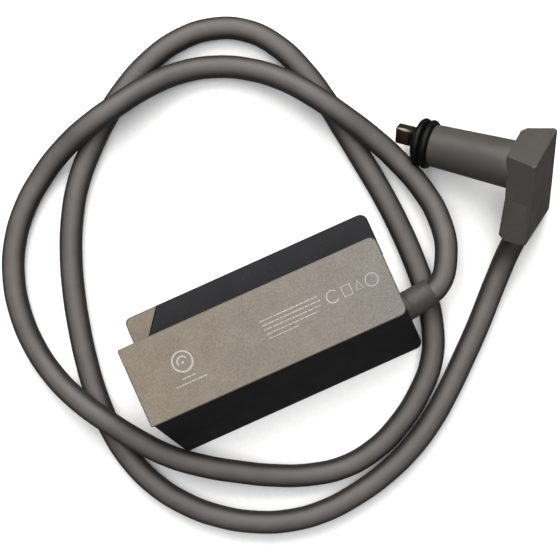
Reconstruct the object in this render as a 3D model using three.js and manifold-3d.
import * as THREE from 'three';
import { mergeVertices } from 'three/addons/utils/BufferGeometryUtils.js';
import Module from 'manifold-3d';

// In-line network adapter: flat box with a jack at one end, a captive round
// cable leaving the other end, two loose turns, and a sealed right-angle plug.
// Millimetres, +Z up, +X along the box towards the cable end, origin under the
// middle of the box on the surface it lies on.

// ---- box
const H = 25;                 // height of the box
const BASE = { x0: -37.8, x1: 41.62, y0: -22.37, y1: 14.5 };
const LEAN_PORT = 3.83;       // port end leans out by this much at the top
const LEAN_CABLE = 1.86;      // cable end leans in by this much at the top
const SLOPE = 13.5;            // -Y side leans in by this much at the top
const COVER = { x0: -41.63, x1: 39.8, y0: -9.72, y1: 14.77, t: 1.6 };
const GAP = 0.3;              // seam between neighbouring pieces
const SHELL_TOP = H - COVER.t - GAP;
const LEDGE = { y1: 22.38, z: 4.5, x0: -38.5, x1: 41.45 };
const WALL = 1.9, FLOOR = 1.8;
const BEZEL_SLANT = 0.778;    // diagonal joint of the bezel in plan, dx per dy
// ---- jack
const JACK = { y: 1.5, w: 15.6, z0: 4.1, z1: 17.3, x0: -35.8, x1: -19.8 };
const MOUTH = { w: 11.9, z0: 6.0, z1: 14.4, depth: 13.2 };
const CONTACT_PITCH = 1.02, CONTACT_W = 0.45, CONTACT_T = 0.35;
// ---- cable
const CABLE_R = 3.45, CABLE_SIDES = 10, CABLE_STEPS = 80;
const BOOT_AT = [41.31, -8.43, 12.0];   // where the boot crosses the end wall
const BOOT_DIR = [0.99215, 0.1251, 0];
const BOOT_R = 4.4, BOOT_TIP_R = 4.2, BOOT_OUT = 8.3, CABLE_CLEAR = 0.38;
// ---- plug, in its own frame: x along the barrel towards the elbow's back,
// y across the elbow's width, z along the elbow towards the cable
const ELBOW = { t: 9.8, w: 21.3, l: 26.9, c: 0.45 };
// corners of the elbow: back face, then barrel side; far edge first
const ELBOW_TOP = [[0, 0.9, -1.9], [0, 20.7, 0.95], [-9.8, 17.0, 1.75], [-9.8, 3.9, -0.95]];
const ELBOW_BEND = [[0, -0.2, 14.2], [0, 21.3, 14.2], [-8.7, 18.2, 15.0], [-8.7, 1.6, 15.0]];
const ELBOW_END = [[0, -1.0, 26.9], [0, 22.6, 26.9], [-8.6, 22.6, 26.3], [-8.6, -1.0, 26.3]];
const BARREL = { z: 7.85, len: 24.7, r0: 7.17, r1: 6.33 };
const RING = { R: 6.25, r: 1.2, s1: 1.22, s2: 3.72 };
const SHELLC = { l: 5.6, w: 3.7, t: 0.4, s0: 5.95, s1: 11.6, off: -1.3 };
const PLUG_AT = [101.906, 20.145, 18.887];
const PLUG_A = [0.7098, -0.6041, 0.3623];
const PLUG_W = [-0.6207, -0.2931, 0.7272];
const PLUG_L = [-0.3331, -0.741, -0.5831];

const wasm = await Module(); wasm.setup();

// ---------------------------------------------------------------- helpers
function toM(g0) {
  let g = g0.clone(); g.deleteAttribute('normal'); g.deleteAttribute('uv');
  g = mergeVertices(g, 1e-5);
  const p = g.attributes.position.array, ix = g.index.array;
  return new wasm.Manifold(new wasm.Mesh({ numProp: 3, vertProperties: new Float32Array(p), triVerts: new Uint32Array(ix) }));
}
function fromM(m) {
  const q = m.getMesh(); const g = new THREE.BufferGeometry();
  const n = q.numProp, v = q.vertProperties, k = v.length / n, a = new Float32Array(k * 3);
  for (let i = 0; i < k; i++) { a[3 * i] = v[n * i]; a[3 * i + 1] = v[n * i + 1]; a[3 * i + 2] = v[n * i + 2]; }
  g.setAttribute('position', new THREE.BufferAttribute(a, 3));
  g.setIndex(Array.from(q.triVerts));
  const f = g.toNonIndexed(); f.computeVertexNormals(); return f;
}
const sub = (a, ...bs) => { let m = toM(a); for (const b of bs) m = m.subtract(toM(b)); return fromM(m); };
const add = (a, ...bs) => { let m = toM(a); for (const b of bs) m = m.add(toM(b)); return fromM(m); };
const cut = (a, b) => fromM(toM(a).intersect(toM(b)));
function box(x0, x1, y0, y1, z0, z1) {
  const g = new THREE.BoxGeometry(x1 - x0, y1 - y0, z1 - z0);
  g.translate((x0 + x1) / 2, (y0 + y1) / 2, (z0 + z1) / 2); return g;
}
// rounded rectangle outline, counter-clockwise; r = [x1y0, x1y1, x0y1, x0y0]
function rrect(x0, x1, y0, y1, r, n = 4) {
  const c = [[x1, y0, -90], [x1, y1, 0], [x0, y1, 90], [x0, y0, 180]], out = [];
  c.forEach(([x, y, a0], i) => {
    const q = r[i], cx = x + (x === x1 ? -q : q), cy = y + (y === y1 ? -q : q);
    for (let k = 0; k <= n; k++) { const a = (a0 + 90 * k / n) * Math.PI / 180; out.push([cx + q * Math.cos(a), cy + q * Math.sin(a)]); }
  });
  return out;
}
// convex outlines at rising heights joined into one closed solid
function loft(secs) {
  const n = secs[0][0].length, v = [], ix = [];
  for (const [o, z] of secs) for (const [x, y] of o) v.push(x, y, z);
  for (let s = 0; s < secs.length - 1; s++) for (let i = 0; i < n; i++) {
    const a = s * n + i, b = s * n + (i + 1) % n, c = a + n, d = b + n; ix.push(a, b, d, a, d, c);
  }
  for (let i = 1; i < n - 1; i++) { ix.push(0, i + 1, i); const t = (secs.length - 1) * n; ix.push(t, t + i, t + i + 1); }
  const g = new THREE.BufferGeometry();
  g.setAttribute('position', new THREE.BufferAttribute(new Float32Array(v), 3)); g.setIndex(ix);
  g.computeVertexNormals(); return g;
}
// polygon in plan extruded up
function prism(poly, z0, z1) {
  const s = new THREE.Shape(poly.map(p => new THREE.Vector2(p[0], p[1])));
  const g = new THREE.ExtrudeGeometry(s, { depth: z1 - z0, bevelEnabled: false, curveSegments: 1 }); g.translate(0, 0, z0); return g;
}
// round piece about +Z from a closed profile [radius, height]
function lathe(profile, seg = 24) { return new THREE.LatheGeometry(profile.map(p => new THREE.Vector2(p[0], p[1])), seg).rotateX(Math.PI / 2); }
// put a +Z shape on an axis: origin at p, +Z along d
function along(g, p, d) {
  const q = new THREE.Quaternion().setFromUnitVectors(new THREE.Vector3(0, 0, 1), new THREE.Vector3(...d).normalize());
  g.applyQuaternion(q); g.translate(p[0], p[1], p[2]); return g;
}
function tube(points, r, sides, steps) {
  const c = new THREE.CatmullRomCurve3(points.map(p => new THREE.Vector3(...p)), false, 'centripetal');
  const s = new THREE.Shape(); for (let i = 0; i < sides; i++) { const a = 2 * Math.PI * i / sides; const x = r * Math.cos(a), y = r * Math.sin(a); i ? s.lineTo(x, y) : s.moveTo(x, y); }
  return new THREE.ExtrudeGeometry(s, { steps, extrudePath: c, bevelEnabled: false, curveSegments: 1 });
}
const root = new THREE.Group(); root.name = 'ethernet_adapter';
function piece(name, g, colour, rough, metal) {
  const m = new THREE.Mesh(g, new THREE.MeshStandardMaterial({ color: new THREE.Color(...colour), roughness: rough, metalness: metal }));
  m.name = name; root.add(m); return m;
}
const CHARCOAL = [0.045, 0.045, 0.046], SILVER = [0.33, 0.30, 0.27], STEEL = [0.6, 0.6, 0.6], GOLD = [0.75, 0.55, 0.22], BLACK = [0.012, 0.012, 0.012];

// ---------------------------------------------------------------- box shell
const xl = z => BASE.x0 - LEAN_PORT * z / H, xr = z => BASE.x1 - LEAN_CABLE * z / H, ys = z => BASE.y0 + SLOPE * z / H;
const outline = (z, k = 0) => rrect(xl(z) + k, xr(z) - k, ys(z) + k, BASE.y1 - k, [2.2, 2.2, 0.8, 1.2]);
const envBody = loft([[outline(0, 0.4), 0], [outline(0.4), 0.4], [outline(SHELL_TOP - 0.3), SHELL_TOP - 0.3], [outline(SHELL_TOP, 0.25), SHELL_TOP]]);
const led = (z, k = 0) => rrect(BASE.x0 - (BASE.x0 - LEDGE.x0) * z / LEDGE.z + k, BASE.x1 - (BASE.x1 - LEDGE.x1) * z / LEDGE.z - k, 8, LEDGE.y1 - k, [0.5, 2.4, 1.9, 0.5]);
const envLedge = loft([[led(0, 0.4), 0], [led(0.4), 0.4], [led(LEDGE.z - 0.5), LEDGE.z - 0.5], [led(LEDGE.z, 0.4), LEDGE.z]]);
const envelope = add(envBody, envLedge);
const cavity = (() => {
  const o = z => rrect(-35.9, 39.2 - 0.6 * z / H, BASE.y0 + 2.1 + (SLOPE - 0.85) * z / H, BASE.y1 - 1.8, [1, 1, 0.6, 0.6]);
  return loft([[o(FLOOR), FLOOR], [o(SHELL_TOP + 3), SHELL_TOP + 3]]);
})();
// the bezel's share of the port end: end plate plus a corner cut on a diagonal in plan
const bz = (k) => [[-60, -8.5 - k], [-36.2 + k, -8.5 - k], [-36.2 + k, 11.35 - (k ? 0.1 : 0)],
  [-36.2 + 1.27 * k + BEZEL_SLANT * (24 - 11.35), 24], [-60, 24]];
const bezelCut = prism(bz(GAP), -1, SHELL_TOP + 1), bezelKeep = prism(bz(0), -1, SHELL_TOP + 1);
const boss = (x, y, z1) => new THREE.CylinderGeometry(2.4, 2.4, z1 - 1.4, 16).rotateX(Math.PI / 2).translate(x, y, (z1 + 1.4) / 2);
const hole = (x, y, r, z0, z1) => new THREE.CylinderGeometry(r, r, z1 - z0, 12).rotateX(Math.PI / 2).translate(x, y, (z0 + z1) / 2);
const BOARD_SCREWS = [[-15.5, -13.2], [21.4, 9.4], [21.4, -14.2]];
const PCB = { x0: -35.4, x1: 24.6, y0: -16.6, y1: 12.2, z0: 2.5, z1: 3.7 };
const CLAMP_X = [32.6, 36.6], CLAMP_SCREW = [34.6, -1.9];
const cableAxis = x => BOOT_AT[1] + (x - BOOT_AT[0]) * BOOT_DIR[1] / BOOT_DIR[0];
const cyl = (r, s0, s1, seg = 24) => along(lathe([[0, s0], [r, s0], [r, s1], [0, s1]], seg), BOOT_AT, BOOT_DIR);
let shell = sub(envelope, cavity, bezelCut);
shell = add(shell, ...BOARD_SCREWS.map(([x, y]) => boss(x, y, PCB.z0 - 0.2)), box(CLAMP_X[0], CLAMP_X[1], -13.6, 0.2, 1.4, 11.6));
shell = sub(shell, cyl(BOOT_R + 0.3, -3.0, 6), cyl(CABLE_R + 1.15, -14.4, -9.0), cyl(5.8, -4.6, -2.7), cyl(CABLE_R + 0.35, -20, -2), ...BOARD_SCREWS.map(([x, y]) => hole(x, y, 1.25, 0.9, 8)), hole(CLAMP_SCREW[0], CLAMP_SCREW[1], 1.25, 5.4, 14));
piece('base_shell', shell, CHARCOAL, 0.55, 0);

const MY0 = JACK.y - MOUTH.w / 2, MY1 = JACK.y + MOUTH.w / 2;
const bezel = sub(cut(envelope, bezelKeep),
  box(-60, -30, MY0 - 0.7, MY1 + 0.7, 4.9, 17.0));
piece('port_bezel', bezel, SILVER, 0.5, 0.2);

// silver cover plate with a locating lip under it
const cov = (k) => rrect(COVER.x0 + k, COVER.x1 - k, COVER.y0 + k, COVER.y1 - k, [2.2 - k, 2.2 - k, 0.7 - k, 0.7 - k]);
const plate = loft([[cov(0.15), H - COVER.t], [cov(0), H - COVER.t + 0.15], [cov(0), H - 0.3], [cov(0.3), H]]);
const lip = sub(box(-35.3, 38.0, -7.9, 12.2, 21.6, H - COVER.t + 0.4), box(-34.2, 36.9, -6.8, 11.1, 21.0, H - COVER.t));
piece('label_cover', add(plate, lip), SILVER, 0.5, 0.2);

// ---------------------------------------------------------------- board and jack
piece('main_pcb', sub(box(PCB.x0, PCB.x1, PCB.y0, PCB.y1, PCB.z0, PCB.z1), ...BOARD_SCREWS.map(([x, y]) => hole(x, y, 1.3, 1, 6))), [0.02, 0.10, 0.05], 0.5, 0);
const jy0 = JACK.y - JACK.w / 2, jy1 = JACK.y + JACK.w / 2;
piece('rj45_housing', sub(box(JACK.x0, JACK.x1, jy0, jy1, JACK.z0, JACK.z1),
  box(JACK.x0 - 1, JACK.x0 + MOUTH.depth, MY0, MY1, MOUTH.z0, MOUTH.z1),
  box(JACK.x0 - 1, JACK.x0 + 9, JACK.y - 3.2, JACK.y + 3.2, MOUTH.z1 - 0.1, 16.4),
  box(JACK.x0 + 0.9, JACK.x0 + 12.6, JACK.y - 4.4, JACK.y + 4.4, 4.9, MOUTH.z0 + 0.1)), BLACK, 0.6, 0);
piece('rj45_shield', sub(box(JACK.x0, JACK.x1 + 0.65, jy0 - 0.65, jy1 + 0.65, JACK.z0, JACK.z1 + 0.65),
  box(JACK.x0 - 1, JACK.x1 + 0.2, jy0 - 0.2, jy1 + 0.2, JACK.z0 - 1, JACK.z1 + 0.2)), STEEL, 0.35, 1);
// spring contacts: a short foot in the trough, then an arm rising into the mouth
for (let i = 0; i < 8; i++) {
  const y = JACK.y + (i - 3.5) * CONTACT_PITCH, t = CONTACT_T;
  const s = new THREE.Shape([[-34.2, 5.2], [-33.4, 5.2], [-24.6, 9.4], [-23.9, 9.25], [-23.85, 9.25 + t], [-24.65, 9.4 + t + 0.02], [-33.5, 5.2 + t + 0.03], [-34.2, 5.2 + t]].map(p => new THREE.Vector2(...p)));
  const g = new THREE.ExtrudeGeometry(s, { depth: CONTACT_W, bevelEnabled: false }).rotateX(Math.PI / 2).translate(0, y + CONTACT_W / 2, 0);
  piece('rj45_contact_' + (i + 1), g, GOLD, 0.3, 1);
}
// board parts
const cham = (x0, x1, y0, y1, z0, z1, c = 0.5) => loft([[rrect(x0, x1, y0, y1, [c, c, c, c], 1), z0], [rrect(x0, x1, y0, y1, [c, c, c, c], 1), z1 - c], [rrect(x0 + c, x1 - c, y0 + c, y1 - c, [c, c, c, c], 1), z1]]);
piece('magnetics_a', cham(-17.4, -9.6, -6.6, 8.6, 4.0, 9.6), BLACK, 0.5, 0);
piece('magnetics_b', cham(-7.4, 0.4, -6.6, 8.6, 4.0, 9.6), BLACK, 0.5, 0);
piece('choke_core', new THREE.TorusGeometry(3.2, 1.4, 8, 20).translate(-3.0, -11.9, 5.5), [0.06, 0.09, 0.05], 0.6, 0);
piece('surge_array', cham(15.0, 21.0, -2.6, 1.4, 4.0, 5.6, 0.3), BLACK, 0.5, 0);
piece('capacitor_a', lathe([[0, 4.0], [2.6, 4.0], [2.6, 10.2], [2.2, 10.6], [0, 10.6]], 16).translate(6.4, 8.4, 0), STEEL, 0.4, 1);
piece('capacitor_b', lathe([[0, 4.0], [2.6, 4.0], [2.6, 10.2], [2.2, 10.6], [0, 10.6]], 16).translate(13.0, 8.4, 0), STEEL, 0.4, 1);
piece('wire_header', sub(box(5.6, 11.2, -14.4, -2.4, 4.0, 9.2), box(7.2, 12, -13.6, -3.2, 5.2, 10.4)), [0.8, 0.78, 0.72], 0.5, 0);

// ---------------------------------------------------------------- cable entry
const P = (s, dy = 0, dz = 0) => [BOOT_AT[0] + s * BOOT_DIR[0] - dy * BOOT_DIR[1], BOOT_AT[1] + s * BOOT_DIR[1] + dy * BOOT_DIR[0], BOOT_AT[2] + dz];
for (let i = 0; i < 4; i++) {
  const yh = -12.2 + i * 2.5, dy = (i % 2 ? 1 : -1) * 1.0, dz = (i < 2 ? -1 : 1) * 1.0;
  piece('wire_pair_' + (i + 1), tube([[8.2, yh, 7.0], [11.6, yh, 7.6 + (i < 2 ? 0 : 1.4)], [17.0, -11.6 + dy * 1.3 + (i - 1.5) * 0.3, 10.2 + dz * 1.3], P(-19.0, dy * 1.1, dz * 1.1), P(-14.1, dy, dz)], 0.75, 8, 14),
    [[0.7, 0.35, 0.05], [0.05, 0.3, 0.12], [0.05, 0.12, 0.5], [0.3, 0.16, 0.08]][i], 0.5, 0);
}
piece('cable_ferrule', along(lathe([[CABLE_R + 0.3, -12.9], [CABLE_R + 0.8, -12.9], [CABLE_R + 0.8, -9.4], [CABLE_R + 0.3, -9.4], [CABLE_R + 0.3, -12.9]], 24), BOOT_AT, BOOT_DIR), STEEL, 0.35, 1);
// clamp strap over the cable, screwed down on one side
{
  const yc = cableAxis(34.6), r0 = CABLE_R + 0.35, r1 = CABLE_R + 0.72, n = 12, o = [];
  for (let k = 0; k <= n; k++) { const a = Math.PI * k / n; o.push([yc + r1 * Math.cos(a), 12 + r1 * Math.sin(a)]); }
  for (let k = n; k >= 0; k--) { const a = Math.PI * k / n; o.push([yc + r0 * Math.cos(a), 12 + r0 * Math.sin(a)]); }
  const arc = new THREE.ExtrudeGeometry(new THREE.Shape(o.map(p => new THREE.Vector2(...p))), { depth: 3.2, bevelEnabled: false });
  // shape x -> world y, shape y -> world z, depth -> world x
  arc.applyMatrix4(new THREE.Matrix4().set(0, 0, 1, 33.0, 1, 0, 0, 0, 0, 1, 0, 0, 0, 0, 0, 1));
  const foot = box(33.0, 36.2, yc + r0 + 0.1, 0.1, 11.95, 12.85);
  piece('cable_clamp', sub(add(arc, foot), hole(CLAMP_SCREW[0], CLAMP_SCREW[1], 1.25, 10, 14), cyl(CABLE_R + 0.35, -20, -2)), STEEL, 0.35, 1);
}
const screw = (x, y, z, len) => lathe([[0, z - len], [0.95, z - len], [0.95, z], [1.7, z], [1.7, z + 0.7], [1.2, z + 1.3], [0.7, z + 1.3], [0.55, z + 0.6], [0, z + 0.6]], 14).translate(x, y, 0);
piece('clamp_screw', screw(CLAMP_SCREW[0], CLAMP_SCREW[1], 13.1, 7.2), STEEL, 0.3, 1);
BOARD_SCREWS.forEach(([x, y], i) => piece('board_screw_' + (i + 1), screw(x, y, PCB.z1 + 0.2, 2.8), STEEL, 0.3, 1));
// moulded boot: inner flange, neck through the wall, tapered sleeve outside
piece('cable_boot', along(lathe([[CABLE_R + CABLE_CLEAR, -4.2], [5.5, -4.2], [5.5, -3.1], [BOOT_R, -3.1], [BOOT_R, 0.5], [BOOT_R + 0.1, 0.7], [BOOT_TIP_R, BOOT_OUT - 0.5], [BOOT_TIP_R - 0.25, BOOT_OUT], [CABLE_R + CABLE_CLEAR, BOOT_OUT], [CABLE_R + CABLE_CLEAR, -4.2]], 24), BOOT_AT, BOOT_DIR), CHARCOAL, 0.5, 0);

// ---------------------------------------------------------------- cable
const CABLE_PATH = [
  P(-13.3), P(-7), P(0), P(5), P(8),
  [51.44, -7.15, 12.00],
  [57.87, 0.23, 11.18],
  [60.39, 9.57, 9.18],
  [59.24, 19.23, 7.42],
  [56.32, 28.71, 7.07],
  [52.87, 37.98, 7.91],
  [49.06, 46.89, 10.08],
  [44.39, 55.58, 10.96],
  [39.11, 63.81, 9.29],
  [33.03, 71.17, 6.57],
  [25.50, 77.32, 4.62],
  [16.67, 81.73, 3.82],
  [7.09, 83.75, 5.12],
  [-2.38, 83.47, 8.08],
  [-11.90, 81.97, 10.44],
  [-21.63, 80.16, 10.37],
  [-30.90, 77.85, 7.74],
  [-39.62, 74.18, 4.72],
  [-47.97, 68.98, 3.63],
  [-55.23, 62.21, 3.55],
  [-60.85, 54.04, 3.55],
  [-64.56, 44.84, 3.55],
  [-66.35, 35.09, 3.56],
  [-66.26, 25.17, 3.88],
  [-64.23, 15.67, 5.78],
  [-60.56, 6.96, 8.81],
  [-55.70, -1.48, 10.64],
  [-50.39, -9.81, 9.81],
  [-44.60, -17.77, 8.57],
  [-37.55, -24.74, 8.19],
  [-29.65, -30.64, 7.00],
  [-21.45, -36.03, 5.44],
  [-12.82, -40.77, 4.17],
  [-3.54, -44.26, 3.62],
  [6.26, -45.69, 3.55],
  [16.06, -44.25, 3.55],
  [25.23, -40.48, 3.56],
  [33.55, -35.07, 3.62],
  [40.74, -28.24, 3.72],
  [45.57, -19.61, 3.74],
  [48.01, -9.99, 3.65],
  [49.14, -0.12, 3.57],
  [49.49, 9.80, 3.55],
  [49.15, 19.73, 3.53],
  [48.12, 29.62, 3.53],
  [46.77, 39.46, 3.53],
  [45.65, 49.33, 3.53],
  [44.43, 59.19, 3.53],
  [42.28, 68.89, 3.54],
  [38.70, 78.14, 3.55],
  [32.83, 86.09, 3.55],
  [24.42, 91.27, 3.55],
  [14.70, 93.12, 3.55],
  [4.86, 92.00, 3.55],
  [-4.50, 88.70, 3.54],
  [-13.23, 83.96, 3.53],
  [-21.23, 78.08, 3.53],
  [-28.71, 71.55, 3.53],
  [-35.35, 64.17, 3.54],
  [-40.70, 55.81, 3.55],
  [-44.99, 46.85, 3.55],
  [-48.41, 37.52, 3.55],
  [-51.15, 27.97, 3.55],
  [-53.34, 18.28, 3.55],
  [-54.90, 8.47, 3.53],
  [-55.55, -1.44, 3.53],
  [-54.94, -11.35, 3.53],
  [-52.66, -21.00, 3.55],
  [-48.46, -29.99, 3.55],
  [-42.52, -37.94, 3.55],
  [-35.21, -44.65, 3.55],
  [-26.83, -49.96, 3.55],
  [-17.60, -53.61, 3.55],
  [-7.83, -55.28, 3.55],
  [2.09, -54.95, 3.55],
  [11.87, -53.24, 3.55],
  [21.36, -50.33, 3.55],
  [30.31, -46.02, 3.55],
  [38.61, -40.57, 3.55],
  [46.29, -34.27, 3.55],
  [53.82, -27.78, 3.55],
  [61.13, -21.05, 3.55],
  [68.17, -14.05, 3.84],
  [74.77, -7.37, 6.80],
  [79.86, -1.79, 13.23],
];
const PL = (x, y, z) => [0, 1, 2].map(k => PLUG_AT[k] + PLUG_A[k] * x + PLUG_W[k] * y + PLUG_L[k] * z);
const EXIT = { x: -4.45, y: 16.0, lean: -0.1414 };
CABLE_PATH.push(PL(EXIT.x - 2.2 * EXIT.lean, EXIT.y, ELBOW.l - 2.2), PL(EXIT.x - 3.9 * EXIT.lean, EXIT.y, ELBOW.l - 4.4));
piece('cable_jacket', tube(CABLE_PATH, CABLE_R, CABLE_SIDES, CABLE_STEPS), [0.06, 0.055, 0.052], 0.45, 0);

// ---------------------------------------------------------------- plug
const PLUG = new THREE.Matrix4().set(
  PLUG_A[0], PLUG_W[0], PLUG_L[0], PLUG_AT[0],
  PLUG_A[1], PLUG_W[1], PLUG_L[1], PLUG_AT[1],
  PLUG_A[2], PLUG_W[2], PLUG_L[2], PLUG_AT[2], 0, 0, 0, 1);
const inPlug = g => { g.applyMatrix4(PLUG); return g; };
// elbow: the upper block narrows from its back towards the barrel, the lower part is boxy and
// spreads a little towards the cable; long edges chamfered, more so at the cable end
const hull = pts => fromM(wasm.Manifold.hull(pts));
function cornered(S, k) {
  // four corners of one section, each cut by k[i] along both neighbours
  const out = [];
  S.forEach((p, i) => [S[(i + 3) % 4], S[(i + 1) % 4]].forEach(q => {
    const d = Math.hypot(q[0] - p[0], q[1] - p[1], q[2] - p[2]); out.push(p.map((v, j) => v + (q[j] - v) * k[i] / d));
  }));
  return out;
}
const lower = (S, dz) => S.map(p => [p[0], p[1], p[2] + dz]);
function elbowSolid() {
  const c = ELBOW.c;
  const up = hull([...cornered(ELBOW_TOP, [c + 0.6, c + 1.1, c + 0.5, c + 0.9]), ...cornered(lower(ELBOW_TOP, c), [c, 0.95, 0.3, 0.6]), ...cornered(ELBOW_BEND, [0.4, 0.95, 0.3, 0.6])]);
  const dn = hull([...cornered(ELBOW_BEND, [0.4, 0.95, 0.3, 0.6]), ...cornered(lower(ELBOW_END, -c), [0.6, 0.95, 1.6, 2.4]), ...cornered(ELBOW_END, [0.6 + c, 0.95 + c, 1.6 + c, 2.4 + c])]);
  return add(up, dn);
}
const elbowRaw = elbowSolid();
const cableBore = along(lathe([[0, -5.2], [CABLE_R + 0.32, -5.2], [CABLE_R + 0.34, -1.4], [CABLE_R + 0.62, 4], [0, 4]], 20), [EXIT.x, EXIT.y, ELBOW.l], [EXIT.lean, 0, 1]);
piece('elbow_housing', inPlug(sub(elbowRaw, cableBore)), CHARCOAL, 0.5, 0);
// round pieces along the barrel: s grows from the barrel's ring end towards the nose
const onBarrel = (g) => { const q = g.rotateY(-Math.PI / 2); q.translate(-ELBOW.t - BARREL.len, ELBOW.w / 2, BARREL.z); return q; };
const rootCut = elbowRaw.clone().translate(-GAP, 0, 0);
piece('plug_barrel', inPlug(sub(onBarrel(lathe([[0, -BARREL.len - 2.2], [BARREL.r0, -BARREL.len - 2.2], [BARREL.r0, -BARREL.len], [BARREL.r1, -0.35], [BARREL.r1 - 0.35, 0], [0, 0]], 28)), rootCut)), CHARCOAL, 0.5, 0);
const G_R = 4.8;
piece('nose_collar', inPlug(onBarrel(lathe([[0, 0.3], [G_R, 0.3], [G_R, 5.12], [5.5, 5.12], [5.5, 5.3], [4.9, 5.65], [0, 5.65]], 24))), BLACK, 0.5, 0);
piece('o_ring_rear', inPlug(onBarrel(new THREE.TorusGeometry(RING.R, RING.r, 8, 24).translate(0, 0, RING.s1))), BLACK, 0.4, 0);
piece('o_ring_front', inPlug(onBarrel(new THREE.TorusGeometry(RING.R, RING.r, 8, 24).translate(0, 0, RING.s2))), BLACK, 0.4, 0);
// flat metal mouth: after turning, local x runs along the elbow, local y across it
function flat(lx, wy, r, z0, z1, n = 3) { return loft([[rrect(-lx / 2, lx / 2, -wy / 2, wy / 2, [r, r, r, r], n), z0], [rrect(-lx / 2, lx / 2, -wy / 2, wy / 2, [r, r, r, r], n), z1]]); }
const turn = g => g.translate(SHELLC.off, 0, 0);
piece('connector_shell', inPlug(onBarrel(turn(sub(flat(SHELLC.l, SHELLC.w, 0.9, SHELLC.s0, SHELLC.s1), flat(SHELLC.l - 2 * SHELLC.t, SHELLC.w - 2 * SHELLC.t, 0.55, SHELLC.s0 + 0.6, SHELLC.s1 + 1))))), [0.35, 0.28, 0.18], 0.35, 1);
piece('connector_tongue', inPlug(onBarrel(turn(box(-2.0, 2.0, -0.45, 0.45, SHELLC.s0 + 0.9, SHELLC.s1 - 0.6)))), BLACK, 0.5, 0);
piece('contact_strip_a', inPlug(onBarrel(turn(box(-1.7, 1.7, 0.5, 0.7, SHELLC.s0 + 1.0, SHELLC.s1 - 1.2)))), GOLD, 0.3, 1);
piece('contact_strip_b', inPlug(onBarrel(turn(box(-1.7, 1.7, -0.7, -0.5, SHELLC.s0 + 1.0, SHELLC.s1 - 1.2)))), GOLD, 0.3, 1);

export default root;
